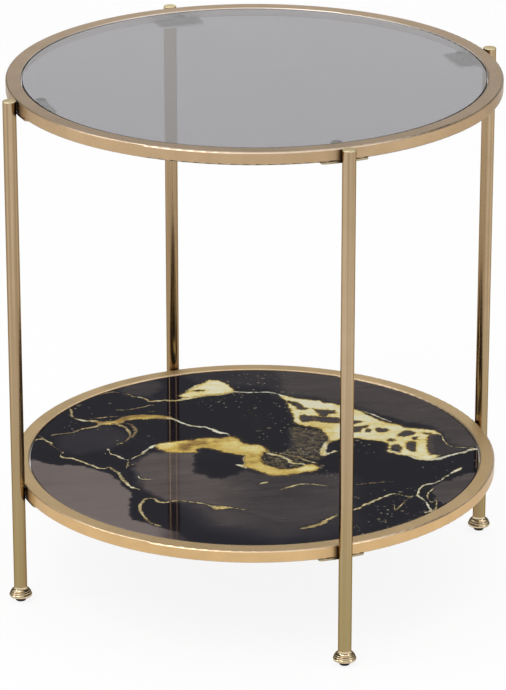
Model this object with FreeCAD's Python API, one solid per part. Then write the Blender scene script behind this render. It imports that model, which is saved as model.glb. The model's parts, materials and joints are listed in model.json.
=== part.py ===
import FreeCAD, Part
import math
import os

# A round side table with two tiers: two rolled rings stand between four straight legs, and each ring
# holds a round glass panel. Lengths are millimetres, +Z is up, the floor is Z = 0, and the table's
# axis is the Z axis. The front faces -Y.

# Whole table
overall_height = 508.0
shelf_ring_height = 119.4
ring_diameter = 470.0
leg_rise = 0.6
leg_names = ("back_right", "back_left", "front_left", "front_right")

# Ring: a closed hoop of rectangular tube
ring_width = 14.5
ring_height = 12.5
ring_wall = 1.2
ring_corner_radius = 1.5

# Leg: straight round tube
leg_diameter = 12.7
leg_wall = 1.0

# Cap: a domed disc welded on the top of each leg
cap_thickness = 1.0
cap_dome_rise = 0.5
cap_edge_radius = 0.9

# Rivet nut: set in the leg wall, with a thin flange between leg and ring
nut_body_diameter = 7.0
nut_flange_diameter = 8.0
nut_flange_thickness = 0.6
nut_end_gap = 2.7
nut_bulge_share = 0.3
nut_bulge_length = 2.2

# Leg screw: its head lies inside the ring tube, and a key reaches it through the ring's inner wall
screw_diameter = 5.0
screw_tip_setback = 0.8
screw_head_height = 5.0
screw_head_room = 0.8
screw_head_chamfer = 0.5
screw_socket_across_flats = 4.0
screw_socket_depth = 2.5
screw_hole_clearance = 0.25
key_hole_clearance = 0.4

# Foot: a turned piece with a neck, a cove, two beads and a bulge
foot_height = 15.0
foot_diameter = 22.0
foot_sole_lip = 0.6

# Stud and plug: the stud ties the foot to a threaded plug in the end of the leg
plug_length = 14.0
stud_diameter = 6.0
stud_foot_depth = 8.5
stud_plug_depth = 12.0
stud_end_gap = 0.5

# Glide pad: pressed into the underside of the foot
pad_diameter = 10.0
pad_show = 2.2
pad_seat_depth = 1.4
pad_edge_radius = 0.6

# Support tab: a flat plate under the ring at each leg
tab_width = 45.0
tab_thickness = 2.0
tab_reach = 18.5
tab_setback = 0.6
tab_inner_corner_radius = 5.0
tab_outer_corner_radius = 2.5

# Bumper: a clear soft disc on the tab, which carries the glass
bumper_diameter = 12.5
bumper_taper = 0.5
bumper_edge_radius = 1.2

# Glass panel: lies inside the ring, just below its top face
glass_thickness = 5.0
glass_recess = 0.8
glass_side_clearance = 1.0
glass_edge_radius = 0.8

# Clearances between pieces of the frame that are pushed or screwed together, and the overrun of cuts
fit_clearance = 0.1
thread_clearance = 0.05
cut_overrun = 2.0

# The foot's outline: places across the flare from the leg's radius (0) to the bulge's radius (1), and
# heights above the pad as shares of the foot above it
cove_end_shares = (0.42, 0.71)
upper_bead_crest_shares = (0.58, 0.66)
upper_bead_end_shares = (0.52, 0.61)
lower_bead_start_shares = (0.60, 0.60)
lower_bead_crest_shares = (0.80, 0.535)
lower_bead_end_shares = (0.73, 0.475)
bulge_start_shares = (0.80, 0.46)
bulge_crest_shares = (1.0, 0.33)
bulge_turn_shares = (0.84, 0.215)
neck_end_height_share = 0.95

# Sizes worked out from the ones above
ring_radius = ring_diameter / 2
ring_inner_radius = ring_radius - ring_width
ring_middle_radius = ring_radius - ring_width / 2
leg_radius = leg_diameter / 2
leg_bore_radius = leg_radius - leg_wall
leg_place = ring_radius + nut_flange_thickness + leg_radius
leg_top = overall_height - cap_dome_rise - cap_thickness
ring_tops = {"upper": overall_height - leg_rise, "lower": shelf_ring_height}
nut_length = leg_diameter - leg_wall - nut_end_gap
screw_head_diameter = ring_height - 2 * ring_wall - 2 * screw_head_room
bumper_height = ring_height - glass_thickness - glass_recess
bumper_place = ring_inner_radius - tab_reach / 2
foot_rise = foot_height - pad_show

X_AXIS = FreeCAD.Vector(1, 0, 0)
Y_AXIS = FreeCAD.Vector(0, 1, 0)
Z_AXIS = FreeCAD.Vector(0, 0, 1)
ORIGIN = FreeCAD.Vector(0, 0, 0)


def point(radius, height):
    return FreeCAD.Vector(radius, 0, height)


def line(start, end):
    return Part.LineSegment(start, end).toShape()


def arc(start, middle, end):
    return Part.Arc(start, middle, end).toShape()


def corner_arc(centre, radius, start_angle, end_angle):
    """An arc about a centre in the XZ plane, with angles in degrees from +X towards +Z."""
    points = []
    for angle in (start_angle, (start_angle + end_angle) / 2, end_angle):
        turn = math.radians(angle)
        points.append(centre + point(radius * math.cos(turn), radius * math.sin(turn)))
    return arc(*points)


def turned(edges):
    """A solid of revolution about the Z axis, from a closed outline in the XZ plane."""
    return Part.Face(Part.Wire(edges)).revolve(ORIGIN, Z_AXIS, 360)


def stepped(steps):
    """A turned piece with straight steps, from (radius, start height, end height) in rising order."""
    corners = [point(0, steps[0][1])]
    for radius, start, end in steps:
        corners += [point(radius, start), point(radius, end)]
    corners.append(point(0, steps[-1][2]))
    return turned([line(a, b) for a, b in zip(corners, corners[1:] + corners[:1])])


def along_radius(shape, height):
    """Lays a turned piece on its side, so that its heights become distances from the table's axis."""
    laid = shape.rotated(ORIGIN, Y_AXIS, 90)
    return laid.translated(Z_AXIS * height)


def radial_hole(diameter, start, end, height):
    return along_radius(stepped([(diameter / 2, start, end)]), height)


def at_leg(shape, name):
    """Turns a piece from the X axis to a leg: the legs stand evenly, with the first halfway to +Y."""
    steps = leg_names.index(name) + 1 / 2
    return shape.rotated(ORIGIN, Z_AXIS, 360 / len(leg_names) * steps)


def screw_height(tier):
    return ring_tops[tier] - ring_height / 2


def make_ring(tier):
    """A hollow hoop with a screw hole in its outer wall and a key hole in its inner wall at each leg."""
    top = ring_tops[tier]
    bottom = top - ring_height
    near, far = ring_inner_radius + ring_corner_radius, ring_radius - ring_corner_radius
    low, high = bottom + ring_corner_radius, top - ring_corner_radius
    skin = [
        line(point(near, bottom), point(far, bottom)),
        corner_arc(point(far, low), ring_corner_radius, -90, 0),
        line(point(ring_radius, low), point(ring_radius, high)),
        corner_arc(point(far, high), ring_corner_radius, 0, 90),
        line(point(far, top), point(near, top)),
        corner_arc(point(near, high), ring_corner_radius, 90, 180),
        line(point(ring_inner_radius, high), point(ring_inner_radius, low)),
        corner_arc(point(near, low), ring_corner_radius, 180, 270),
    ]
    hollow_corners = [
        point(ring_inner_radius + ring_wall, bottom + ring_wall),
        point(ring_radius - ring_wall, bottom + ring_wall),
        point(ring_radius - ring_wall, top - ring_wall),
        point(ring_inner_radius + ring_wall, top - ring_wall),
    ]
    hollow = [line(a, b) for a, b in zip(hollow_corners, hollow_corners[1:] + hollow_corners[:1])]
    ring = turned(skin).cut(turned(hollow))
    height = screw_height(tier)
    screw_hole_diameter = screw_diameter + 2 * screw_hole_clearance
    key_hole_diameter = screw_head_diameter + 2 * key_hole_clearance
    screw_hole = radial_hole(screw_hole_diameter, ring_middle_radius, ring_radius + cut_overrun, height)
    key_hole = radial_hole(key_hole_diameter, ring_inner_radius - cut_overrun, ring_middle_radius, height)
    holes = [at_leg(hole, name) for name in leg_names for hole in (screw_hole, key_hole)]
    return ring.cut(holes)


def make_leg():
    """A tube from the foot to the cap, with a hole for a rivet nut at each ring."""
    base = FreeCAD.Vector(leg_place, 0, foot_height)
    tube = Part.makeCylinder(leg_radius, leg_top - foot_height, base)
    bore = Part.makeCylinder(leg_bore_radius, leg_top - foot_height + cut_overrun, base)
    nut_hole_diameter = nut_body_diameter + 2 * fit_clearance
    cuts = [bore]
    for tier in ring_tops:
        cuts.append(radial_hole(nut_hole_diameter, ring_radius, leg_place, screw_height(tier)))
    return tube.cut(cuts)


def make_cap():
    """A disc with a rounded rim and a low dome."""
    rim = overall_height - cap_dome_rise
    rim_low = rim - cap_edge_radius
    dome_edge = leg_radius - cap_edge_radius
    dome_radius = (dome_edge**2 + cap_dome_rise**2) / (2 * cap_dome_rise)
    half_edge = dome_edge / 2
    half_rise = overall_height - dome_radius + math.sqrt(dome_radius**2 - half_edge**2)
    edges = [
        line(point(0, leg_top), point(leg_radius, leg_top)),
        line(point(leg_radius, leg_top), point(leg_radius, rim_low)),
        corner_arc(point(dome_edge, rim_low), cap_edge_radius, 0, 90),
        arc(point(dome_edge, rim), point(half_edge, half_rise), point(0, overall_height)),
        line(point(0, overall_height), point(0, leg_top)),
    ]
    return turned(edges).translated(X_AXIS * leg_place)


def make_rivet_nut(tier):
    """A flanged sleeve, swollen behind the leg wall, with a threaded bore."""
    bulge_radius = nut_body_diameter / 2 + (leg_bore_radius - nut_body_diameter / 2) * nut_bulge_share
    bulge_start = leg_place - math.sqrt(leg_bore_radius**2 - bulge_radius**2) + fit_clearance
    flange_end = ring_radius + nut_flange_thickness
    sleeve_end = flange_end + nut_length
    sleeve = stepped([
        (nut_flange_diameter / 2, ring_radius, flange_end),
        (nut_body_diameter / 2, flange_end, bulge_start),
        (bulge_radius, bulge_start, bulge_start + nut_bulge_length),
        (nut_body_diameter / 2, bulge_start + nut_bulge_length, sleeve_end),
    ])
    bore_radius = screw_diameter / 2 + thread_clearance
    bore = stepped([(bore_radius, ring_radius - cut_overrun, sleeve_end + cut_overrun)])
    return along_radius(sleeve.cut(bore), screw_height(tier))


def make_leg_screw(tier):
    """A socket screw whose flat head bears on the curved inside of the ring's outer wall."""
    head_radius = screw_head_diameter / 2
    shank_radius = screw_diameter / 2
    face_radius = head_radius - screw_head_chamfer
    seat = math.sqrt((ring_radius - ring_wall) ** 2 - head_radius**2)
    head_end = seat - screw_head_height
    chamfer_end = head_end + screw_head_chamfer
    tip = ring_radius + nut_flange_thickness + nut_length - screw_tip_setback
    edges = [
        line(point(0, head_end), point(face_radius, head_end)),
        line(point(face_radius, head_end), point(head_radius, chamfer_end)),
        line(point(head_radius, chamfer_end), point(head_radius, seat)),
        line(point(head_radius, seat), point(shank_radius, seat)),
        line(point(shank_radius, seat), point(shank_radius, tip)),
        line(point(shank_radius, tip), point(0, tip)),
        line(point(0, tip), point(0, head_end)),
    ]
    socket_radius = screw_socket_across_flats / 2 / math.cos(math.radians(30))
    socket_floor = head_end + screw_socket_depth
    first_corner = point(socket_radius, socket_floor)
    corners = [FreeCAD.Rotation(Z_AXIS, 60 * index).multVec(first_corner) for index in range(7)]
    hexagon = Part.Face(Part.makePolygon(corners))
    socket = hexagon.extrude(Z_AXIS * -(screw_socket_depth + cut_overrun))
    return along_radius(turned(edges).cut(socket), screw_height(tier))


def foot_point(shares):
    across, up = shares
    return point(leg_radius + (foot_diameter / 2 - leg_radius) * across, pad_show + foot_rise * up)


def make_foot():
    """A turned foot: the neck meets the leg, and the sole has a seat for the glide pad."""
    neck_top = point(leg_radius, foot_height)
    neck_end = point(leg_radius, pad_show + foot_rise * neck_end_height_share)
    cove_end = foot_point(cove_end_shares)
    cove_width, cove_drop = cove_end.x - neck_end.x, neck_end.z - cove_end.z
    bend = math.cos(math.radians(45))
    cove_middle = point(neck_end.x + cove_width * (1 - bend), neck_end.z - cove_drop * bend)
    seat_radius = pad_diameter / 2 + fit_clearance
    sole_edge = point(seat_radius + foot_sole_lip, pad_show)
    seat_top = pad_show + pad_seat_depth + fit_clearance
    edges = [
        line(point(0, foot_height), neck_top),
        line(neck_top, neck_end),
        arc(neck_end, cove_middle, cove_end),
        arc(cove_end, foot_point(upper_bead_crest_shares), foot_point(upper_bead_end_shares)),
        line(foot_point(upper_bead_end_shares), foot_point(lower_bead_start_shares)),
        arc(
            foot_point(lower_bead_start_shares),
            foot_point(lower_bead_crest_shares),
            foot_point(lower_bead_end_shares),
        ),
        line(foot_point(lower_bead_end_shares), foot_point(bulge_start_shares)),
        arc(foot_point(bulge_start_shares), foot_point(bulge_crest_shares), foot_point(bulge_turn_shares)),
        line(foot_point(bulge_turn_shares), sole_edge),
        line(sole_edge, point(seat_radius, pad_show)),
        line(point(seat_radius, pad_show), point(seat_radius, seat_top)),
        line(point(seat_radius, seat_top), point(0, seat_top)),
        line(point(0, seat_top), point(0, foot_height)),
    ]
    hole_floor = foot_height - stud_foot_depth - stud_end_gap
    hole = stepped([(stud_diameter / 2 + thread_clearance, hole_floor, foot_height + cut_overrun)])
    return turned(edges).cut(hole).translated(X_AXIS * leg_place)


def make_leg_plug():
    bore_radius = stud_diameter / 2 + thread_clearance
    plug = stepped([(leg_bore_radius - fit_clearance, foot_height, foot_height + plug_length)])
    bore = stepped([(bore_radius, foot_height - cut_overrun, foot_height + plug_length + cut_overrun)])
    return plug.cut(bore).translated(X_AXIS * leg_place)


def make_foot_stud():
    stud = stepped([(stud_diameter / 2, foot_height - stud_foot_depth, foot_height + stud_plug_depth)])
    return stud.translated(X_AXIS * leg_place)


def make_glide_pad():
    """A disc that stands on the floor with a rounded rim."""
    radius = pad_diameter / 2
    top = pad_show + pad_seat_depth
    edges = [
        line(point(0, 0), point(radius - pad_edge_radius, 0)),
        corner_arc(point(radius - pad_edge_radius, pad_edge_radius), pad_edge_radius, -90, 0),
        line(point(radius, pad_edge_radius), point(radius, top)),
        line(point(radius, top), point(0, top)),
        line(point(0, top), point(0, 0)),
    ]
    return turned(edges).translated(X_AXIS * leg_place)


def upright_edges(solid):
    return [edge for edge in solid.Edges if abs(edge.tangentAt(edge.FirstParameter).z) > 0.5]


def make_support_tab(tier):
    """A plate under the ring: its outer edge follows the ring, and its inner end carries a bumper."""
    floor = ring_tops[tier] - ring_height - tab_thickness
    outer = ring_radius - tab_setback
    inner = ring_inner_radius - tab_reach
    half = tab_width / 2
    shoulder = math.sqrt(outer**2 - half**2)
    near_left, near_right = FreeCAD.Vector(inner, half, floor), FreeCAD.Vector(inner, -half, floor)
    far_left, far_right = FreeCAD.Vector(shoulder, half, floor), FreeCAD.Vector(shoulder, -half, floor)
    edges = [
        line(near_left, near_right),
        line(near_right, far_right),
        arc(far_right, FreeCAD.Vector(outer, 0, floor), far_left),
        line(far_left, near_left),
    ]
    plate = Part.Face(Part.Wire(edges)).extrude(Z_AXIS * tab_thickness)
    middle = (inner + shoulder) / 2
    near_edges = [edge for edge in upright_edges(plate) if edge.CenterOfMass.x < middle]
    plate = plate.makeFillet(tab_inner_corner_radius, near_edges)
    far_edges = [edge for edge in upright_edges(plate) if edge.CenterOfMass.x > middle]
    return plate.makeFillet(tab_outer_corner_radius, far_edges)


def make_bumper(tier):
    """A disc that narrows a little towards its flat top."""
    floor = ring_tops[tier] - ring_height
    top = floor + bumper_height
    base_radius = bumper_diameter / 2
    top_radius = base_radius - bumper_taper
    face_radius = top_radius - bumper_edge_radius
    shoulder = top - bumper_edge_radius
    edges = [
        line(point(0, floor), point(base_radius, floor)),
        line(point(base_radius, floor), point(top_radius, shoulder)),
        corner_arc(point(face_radius, shoulder), bumper_edge_radius, 0, 90),
        line(point(face_radius, top), point(0, top)),
        line(point(0, top), point(0, floor)),
    ]
    return turned(edges).translated(X_AXIS * bumper_place)


def make_glass(tier):
    """A round panel with a pencil-rounded edge."""
    top = ring_tops[tier] - glass_recess
    floor = top - glass_thickness
    radius = ring_inner_radius - glass_side_clearance
    shoulder = radius - glass_edge_radius
    edges = [
        line(point(0, floor), point(shoulder, floor)),
        corner_arc(point(shoulder, floor + glass_edge_radius), glass_edge_radius, -90, 0),
        line(point(radius, floor + glass_edge_radius), point(radius, top - glass_edge_radius)),
        corner_arc(point(shoulder, top - glass_edge_radius), glass_edge_radius, 0, 90),
        line(point(shoulder, top), point(0, top)),
        line(point(0, top), point(0, floor)),
    ]
    return turned(edges)


def save(name, shape):
    shape.exportStep(f"parts/{name}.step")


def save_set(name, shape):
    """One node that holds a copy of a small piece at every leg."""
    save(name, Part.makeCompound([at_leg(shape, leg) for leg in leg_names]))


os.makedirs("parts", exist_ok=True)
for tier in ring_tops:
    save(f"{tier}_ring", make_ring(tier))
    save(f"{tier}_glass", make_glass(tier))
    save_set(f"{tier}_leg_screws", make_leg_screw(tier))
    save_set(f"{tier}_rivet_nuts", make_rivet_nut(tier))
    for leg in leg_names:
        save(f"{tier}_tab_{leg}", at_leg(make_support_tab(tier), leg))
        save(f"{tier}_bumper_{leg}", at_leg(make_bumper(tier), leg))
for leg in leg_names:
    save(f"leg_{leg}", at_leg(make_leg(), leg))
    save(f"leg_cap_{leg}", at_leg(make_cap(), leg))
    save(f"leg_plug_{leg}", at_leg(make_leg_plug(), leg))
    save(f"foot_{leg}", at_leg(make_foot(), leg))
    save(f"glide_pad_{leg}", at_leg(make_glide_pad(), leg))
save_set("foot_studs", make_foot_stud())
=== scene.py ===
"""Round two-tier side table: smoked glass top and marble-print glass shelf in satin gold tube."""
import json
import math

import bpy
import numpy as np
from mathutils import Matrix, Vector, noise


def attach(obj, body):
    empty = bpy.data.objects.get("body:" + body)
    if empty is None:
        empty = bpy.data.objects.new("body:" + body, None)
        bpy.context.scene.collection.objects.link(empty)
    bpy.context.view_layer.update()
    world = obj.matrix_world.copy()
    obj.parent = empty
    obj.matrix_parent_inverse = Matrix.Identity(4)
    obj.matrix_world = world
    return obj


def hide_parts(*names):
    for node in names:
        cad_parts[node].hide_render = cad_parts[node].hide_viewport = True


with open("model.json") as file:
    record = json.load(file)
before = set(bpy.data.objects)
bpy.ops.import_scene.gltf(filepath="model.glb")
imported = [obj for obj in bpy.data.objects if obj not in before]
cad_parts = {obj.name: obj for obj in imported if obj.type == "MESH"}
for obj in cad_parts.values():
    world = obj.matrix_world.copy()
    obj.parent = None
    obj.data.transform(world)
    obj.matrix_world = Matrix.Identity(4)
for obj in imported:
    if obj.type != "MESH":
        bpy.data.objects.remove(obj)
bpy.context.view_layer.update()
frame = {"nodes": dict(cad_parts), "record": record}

# Camera, as the photograph sees the table, in metres and degrees
view_azimuth = 24.6
view_pitch = 21.28
camera_distance = 3.525
camera_height = 1.6053
camera_aside = 0.00145
picture_height_px = 690
focal_length_px = 3901
sensor_height = 36.0

# Studio: the floor, and the sky's levels from the horizon, 0, to overhead, 1
floor_radius = 9.0
floor_sides = 96
floor_white_share = 0.9
floor_shades = ((0.9, 0.9, 0.9), (0.93, 0.93, 0.93))
sky_levels = ((0.0, 0.9), (0.05, 0.7), (0.16, 0.14), (0.5, 0.14), (0.72, 1.15), (1.0, 1.35))

# Soft lamps: azimuth from the camera's, distance, height, tilt down, (width, height) and brightness
softboxes = {
    "key_softbox": (-40, 1.7, 2.3, 50, (1.3, 1.3), 3.0),
    "back_softbox": (180, 0.6, 0.69, 0, (0.7, 0.24), 1.0),
    "left_softbox": (-75, 2.4, 1.3, 25, (0.6, 1.6), 4.0),
    "right_softbox": (65, 2.4, 1.3, 25, (0.6, 1.6), 3.0),
}

# The photograph's own camera over the shelf: upright verticals, in pixels, ring radii and degrees
photo_focal_px = 3027.0
photo_middle_px = 257.9
photo_horizon_px = -804.2
photo_distance = 12.3
photo_shelf_drop = 5.094
photo_azimuth = 25.4
ring_radius = 0.235

# Glass rims, the rings' inner walls and the legs, as distances from the table's axis, in metres
inner_wall = 0.2207
leg_place = 0.24195
glass_rim = 0.2185

# Metals: colours, and the heights over which the painted shade on a leg's foot end and axis side fades, in
# metres
# The two rings share one finish: the upper gold is its shaded copy and the lower its lit copy
upper_ring_shaded_gold = (0.56, 0.39, 0.22)
lower_ring_lit_gold = (0.72, 0.48, 0.225)
leg_gold = (0.5, 0.375, 0.235)
cap_gold = (0.72, 0.62, 0.41)
tab_gold = (0.46, 0.37, 0.24)
foot_gold = (0.72, 0.58, 0.38)
# Painted light: a pale gold for the rings' inner walls and the tabs under the glass
inner_wall_light_gold = (0.95, 0.88, 0.82)
# Painted shade: brown for crevices and gaps between parts
crevice_shade_brown = (0.045, 0.02, 0.008)
bright_zinc = (0.56, 0.57, 0.6)
# Painted shade: a dark brown zinc for the rivet nuts in the leg-ring joint
joint_shade_zinc = (0.2, 0.13, 0.08)
foot_shade_heights = (0.04, 0.24)
inward_shade_heights = (0.26, 0.42)

# Glass and rubber: the two shades that each surface wavers between, and the pale ground rim of the glass
smoke_shades = ((0.188, 0.182, 0.199), (0.198, 0.192, 0.209))
ground_rim_shade = (0.92, 0.93, 0.92)
clear_shades = ((0.86, 0.88, 0.86), (0.95, 0.96, 0.95))
black_shades = ((0.012, 0.012, 0.013), (0.07, 0.066, 0.06))

# Shelf panel, in metres
panel_radius = 0.2195
panel_top = 0.1186
panel_bottom = 0.1136
panel_edge = 0.0008
panel_edge_steps = 4
panel_spacing = 0.00125
vein_step = 0.0006
vein_reach = 3.0
spots_at_once = 4000

# Waves that make the print's lines and clouds waver: waves a metre, size in metres, and their seed
line_waves = ((28, 0.0022), (120, 0.0009))
smoke_waves = ((40, 0.004), (110, 0.003), (330, 0.0016))
wave_seed = 7

# Colours of the print, the last three as stops from dark to pale, and the turn of its streaks in degrees
crumb_brown = (0.2, 0.155, 0.075)
fringe_brown = (0.14, 0.09, 0.028)
outline_black = (0.008, 0.007, 0.01)
fleck_kinds = ((150.0, (0.27, 0.22, 0.15)), (330.0, (0.58, 0.52, 0.38)))
stone_stops = (
    (0.0, (0.006, 0.0055, 0.012)), (0.2, (0.024, 0.021, 0.028)),
    (0.6, (0.085, 0.07, 0.068)), (1.0, (0.19, 0.155, 0.145)),
)
gilt_stops = (
    (0.0, (0.14, 0.08, 0.03)), (0.3, (0.44, 0.27, 0.065)), (0.55, (0.76, 0.54, 0.13)),
    (0.8, (0.93, 0.79, 0.32)), (1.0, (0.98, 0.94, 0.68)),
)
thread_stops = (
    (0.0, (0.11, 0.065, 0.042)), (0.3, (0.32, 0.22, 0.11)), (0.55, (0.57, 0.45, 0.21)),
    (0.8, (0.82, 0.72, 0.4)), (1.0, (0.97, 0.94, 0.76)),
)
streak_turn = 8

# Gold veins of the shelf's print: tone from brown 0 to pale 1, (across px, down px, half width in mm)
gold_veins = {
    "rim_squiggle": (0.6, (
        (69, 399, 0.5), (73, 402, 1.2), (74, 407, 1.2), (79, 411, 1.5), (88, 413, 2.6), (97, 414, 3),
    )),
    "upper_main": (0.3, (
        (88, 412, 1.5), (105, 416, 4.6), (120, 415, 5.2), (130, 411, 5.4), (145, 410, 5.8), (160, 410, 5),
        (172, 411, 4.2),
    )),
    "upper_tail": (0.95, (
        (170, 411, 2.4), (178, 413, 2.4), (186, 417, 2), (197, 420, 1.5), (208, 421, 1.6),
        (217, 424, 2.6), (224, 427, 2.6), (231, 428, 1.6), (233, 430, 0.4),
    )),
    "upper_strand": (0.2, ((92, 411, 0.8), (105, 410, 1.2), (118, 409, 1), (130, 409, 1))),
    "hook": (0.35, (
        (49, 430, 0.5), (54, 428, 1), (70, 426, 1.3), (82, 422, 1.5), (95, 420, 1.6), (107, 416, 1.9),
        (117, 417, 2.2), (124, 419, 2.2), (129, 423, 2), (131, 428, 1.5), (129, 433, 1.2), (124, 437, 1),
        (117, 439, 0.8),
    )),
    "hook_fold": (0.15, (
        (127, 416, 1), (133, 418, 1.8), (137, 423, 2), (136, 428, 1.6), (132, 432, 0.6),
    )),
    "left_rim": (0.55, ((31, 435, 0.8), (37, 433, 1), (42, 433, 1.2), (46, 436, 1.2), (50, 438, 0.6))),
    "left_thread": (0.2, (
        (38, 429, 0.6), (46, 436, 0.8), (51, 441, 0.7), (57, 445, 0.7), (61, 448, 0.6),
    )),
    "left_long": (0.6, (
        (62, 447, 0.5), (58, 451, 1), (62, 453, 1.5), (70, 454, 1.4), (78, 457, 1.6), (88, 461, 1.8),
        (97, 465, 1.7), (104, 466, 1), (108, 464, 1.2), (112, 467, 1.8), (117, 472, 2), (121, 479, 2),
        (128, 486, 1.5), (135, 489, 1), (141, 491, 0.4),
    )),
    "left_curl": (0.75, (
        (105, 450, 0.5), (109, 444, 0.8), (112, 449, 1.1), (118, 451, 1.3), (122, 454, 1.3),
        (128, 456, 1.3), (136, 453, 1.2), (143, 450, 1.3), (147, 446, 1.4), (152, 443, 1.6),
    )),
    "left_dot": (0.8, ((136, 473, 0.6), (139, 477, 1.7), (146, 478, 1.2), (152, 478, 0.4))),
    "curl_drop": (0.6, ((128, 457, 0.8), (127, 461, 1.1), (126, 465, 0.7))),
    "curl_spur": (0.5, ((128, 463, 0.5), (132, 461, 1), (136, 462, 0.4))),
    "rim_arc": (0.2, (
        (96, 388, 0.5), (105, 385, 1.1), (115, 383, 1.3), (125, 384, 1.2), (133, 386, 1.1),
        (137, 388, 0.4),
    )),
    "back_main": (0.6, (
        (134, 388, 0.5), (147, 390, 1.6), (155, 393, 2), (167, 392, 2), (180, 392, 2.6), (192, 390, 3),
        (202, 388, 3.4), (214, 386, 3.8), (228, 385, 3.4), (239, 383, 2),
    )),
    "back_top": (0.75, ((184, 387, 0.8), (192, 383, 2.2), (200, 379, 3.4), (208, 376, 4.6))),
    "back_line": (1.0, (
        (236, 383, 1.8), (246, 384, 1.5), (262, 384, 1.3), (275, 384, 1.5), (285, 386, 2),
        (294, 390, 2.4),
    )),
    "back_scratch": (0.3, (
        (116, 402, 0.6), (128, 402, 1), (136, 401, 1), (146, 399, 1.1), (153, 397, 1), (160, 397, 0.5),
    )),
    "back_dash": (0.1, ((151, 404, 0.5), (158, 404, 0.9), (166, 404, 0.4))),
    "broad_tip": (1.0, ((142, 449, 1), (147, 445.5, 2), (153, 441.5, 2.6), (158, 441, 2))),
    "broad_edge": (1.0, ((249, 451, 0.8), (248, 456, 1.4), (248, 461, 1.4), (246, 464.5, 1))),
    "broad_streak": (0.9, ((237.5, 462.5, 0.8), (242, 463, 2.2), (249, 465, 2.4))),
    "lace_line": (0.8, (
        (271, 449, 2), (277, 450.5, 2.8), (283, 452, 2.8), (288, 454.5, 2.8), (293, 457, 3),
        (295, 460, 2.6), (300, 461.5, 2.2), (305, 462, 2.2), (310, 463, 1),
    )),
    "lace_strand": (0.5, (
        (276, 448, 1), (284, 449.5, 1.7), (292, 451, 1.7), (300, 453, 1.7), (306, 455, 1.7),
        (311, 458, 1.7), (318, 460, 1.6), (324, 461, 0.6),
    )),
    "low_hook": (0.45, (
        (161, 530, 0.5), (155, 529, 1.4), (148, 526, 1.8), (142, 520, 1.5), (138, 513, 1.5),
        (137, 507, 1.6), (139, 502, 1.6), (144, 499, 1.4), (151, 499, 1.2), (156, 503, 2),
        (164, 503, 1.6), (176, 501, 1.1), (188, 502, 1.1), (199, 504, 1.2), (208, 507, 1.4),
        (216, 510, 4.2), (222, 510, 4.4), (231, 510, 2), (243, 512, 1), (256, 513, 0.5),
    )),
    "right_drop": (0.72, (
        (338, 432, 4), (335, 437, 3.4), (331, 441, 3), (329.5, 446, 3.6), (331, 451, 4), (336, 450, 2),
        (342, 448, 2),
    )),
    "field_crest": (0.9, (
        (368, 404, 0.6), (374, 406, 1.4), (382, 409, 1.5), (391, 413, 1.4), (400, 417, 0.6),
    )),
    "right_edge": (0.95, (
        (396, 447, 2), (405, 450, 2.4), (417, 453, 2.6), (427, 456, 3), (437, 457, 3.6), (448, 456, 3),
        (459, 453, 2), (471, 450, 2), (480, 447, 2), (487, 446, 1.6),
    )),
    "right_thread": (0.6, (
        (444, 427, 1.2), (449, 432, 1), (453, 438, 1), (460, 443, 0.9), (471, 444, 0.9), (483, 445, 1.2),
    )),
    "right_hook": (0.8, (
        (470, 467, 1), (465, 470, 2), (461, 473, 1), (456, 476, 1.5), (450, 480, 0.9), (444, 483, 1.2),
        (437, 484, 1.6), (431, 487, 1.3), (428, 492, 1.3), (427, 497, 1.3), (430, 500, 1.3),
        (435, 505, 1.2), (438, 511, 1.5), (440, 515, 1.7), (434, 517, 1),
    )),
    "right_curl": (0.55, (
        (443, 488, 0.5), (439, 493, 1), (437, 499, 1), (441, 505, 1), (446, 503, 0.7), (446, 511, 0.9),
        (442, 515, 0.8),
    )),
    "front_thread": (0.55, (
        (282, 490, 0.6), (292, 487, 1.6), (303, 484, 1.6), (315, 484, 1.1), (325, 485, 1),
        (336, 486, 0.4),
    )),
    "front_dash": (0.6, ((260, 484, 0.5), (266, 482, 1.6), (271, 481, 0.5))),
    "right_dash": (0.2, (
        (355, 485, 0.4), (370, 484, 0.8), (382, 483, 1), (392, 482, 0.8), (408, 482, 0.4),
    )),
    "front_spray": (0.6, (
        (355, 514, 0.8), (364, 512, 1.5), (373, 507, 1.7), (383, 502, 1.5), (394, 497, 1.6),
        (404, 495, 1), (416, 498, 1), (428, 497, 0.8),
    )),
    "front_ring": (0.4, (
        (401, 508, 0.5), (402, 513, 1.1), (406, 511, 1), (411, 505, 0.8), (418, 499, 0.4),
    )),
    "front_brush": (0.4, (
        (302, 534, 0.8), (312, 532, 2.6), (322, 529, 3), (332, 524, 2.6), (343, 519, 1.6),
    )),
}

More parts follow.
